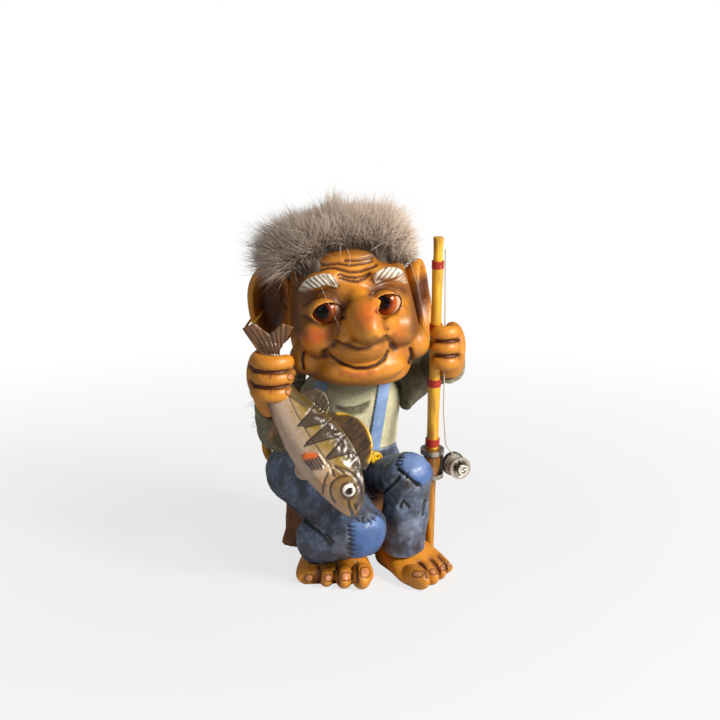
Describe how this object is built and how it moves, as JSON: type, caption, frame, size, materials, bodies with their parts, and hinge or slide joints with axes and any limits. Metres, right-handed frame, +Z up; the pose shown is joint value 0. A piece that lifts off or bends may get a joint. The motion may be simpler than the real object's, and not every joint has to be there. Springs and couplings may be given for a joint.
{
  "type": "seated troll figure",
  "caption": "Seated folk-tale troll ornament with a fur wig, holding a fish in one fist and a cane fishing rod in the other; its head turns and the reel spins.",
  "frame": {"origin": "on the table, on the underside of the stump, below the middle of the figure", "axes": "+Z up, the figure faces -Y, its left hand with the rod is on +X"},
  "size_m": [0.112, 0.1208, 0.1808],
  "materials": {
    "stump_resin": "cast resin, painted and washed as bark",
    "denim_resin": "cast resin, painted blue-grey with a dark wash",
    "skin_resin": "cast resin, painted ochre with a brown wash",
    "shirt_resin": "cast resin, painted pale grey-green",
    "sleeve_resin": "cast resin, painted dark grey-green",
    "brace_resin": "painted light blue",
    "button_resin": "painted yellow",
    "peg_wood": "plain turned peg",
    "fish_resin": "cast resin, painted silver, yellow and brown",
    "rod_cane_wood": "varnished cane",
    "rod_grip_wood": "stained brown",
    "whipping_thread": "red thread, varnished",
    "reel_metal": "bright silver",
    "line_nylon": "pale line",
    "fur": "grey fur on a cloth backing",
    "gilt_brass": "polished",
    "eye_glass": "glossy inset eye"
  },
  "bodies": {
    "figure": {"stump_seat": "stump_resin", "trousers_seat": "denim_resin", "right_leg": "denim_resin", "left_leg": "denim_resin", "right_foot": "skin_resin", "left_foot": "skin_resin", "shirt": "shirt_resin", "right_sleeve": "sleeve_resin", "left_sleeve": "sleeve_resin", "right_brace": "brace_resin", "left_brace": "brace_resin", "right_button": "button_resin", "left_button": "button_resin", "neck_peg": "peg_wood", "fish": "fish_resin", "right_fist": "skin_resin", "left_fist": "skin_resin", "rod_cane": "rod_cane_wood", "rod_grip": "rod_grip_wood", "rod_whippings": "whipping_thread", "reel_rings": "reel_metal", "reel_frame": "reel_metal", "fishing_line": "line_nylon", "tail": "skin_resin", "tail_tuft": "fur"},
    "head": {"head": "skin_resin", "right_ear": "skin_resin", "left_ear": "skin_resin", "ear_ring": "gilt_brass", "right_eye": "eye_glass", "left_eye": "eye_glass", "wig": "fur"},
    "reel": {"reel_spool": "reel_metal", "reel_winding": "line_nylon", "reel_knob": "reel_metal"}
  },
  "joints": [
    {"name": "head_turn", "type": "hinge", "parent": "figure", "child": "head", "pos_m": [-0.001, -0.005, 0.099], "axis": [0, 0, 1], "range_deg": [-6, 1]},
    {"name": "reel_spin", "type": "hinge", "parent": "figure", "child": "reel", "pos_m": [0.05085, -0.01339, 0.0513], "axis": [0.3746, -0.9272, 0], "continuous": true}
  ]
}
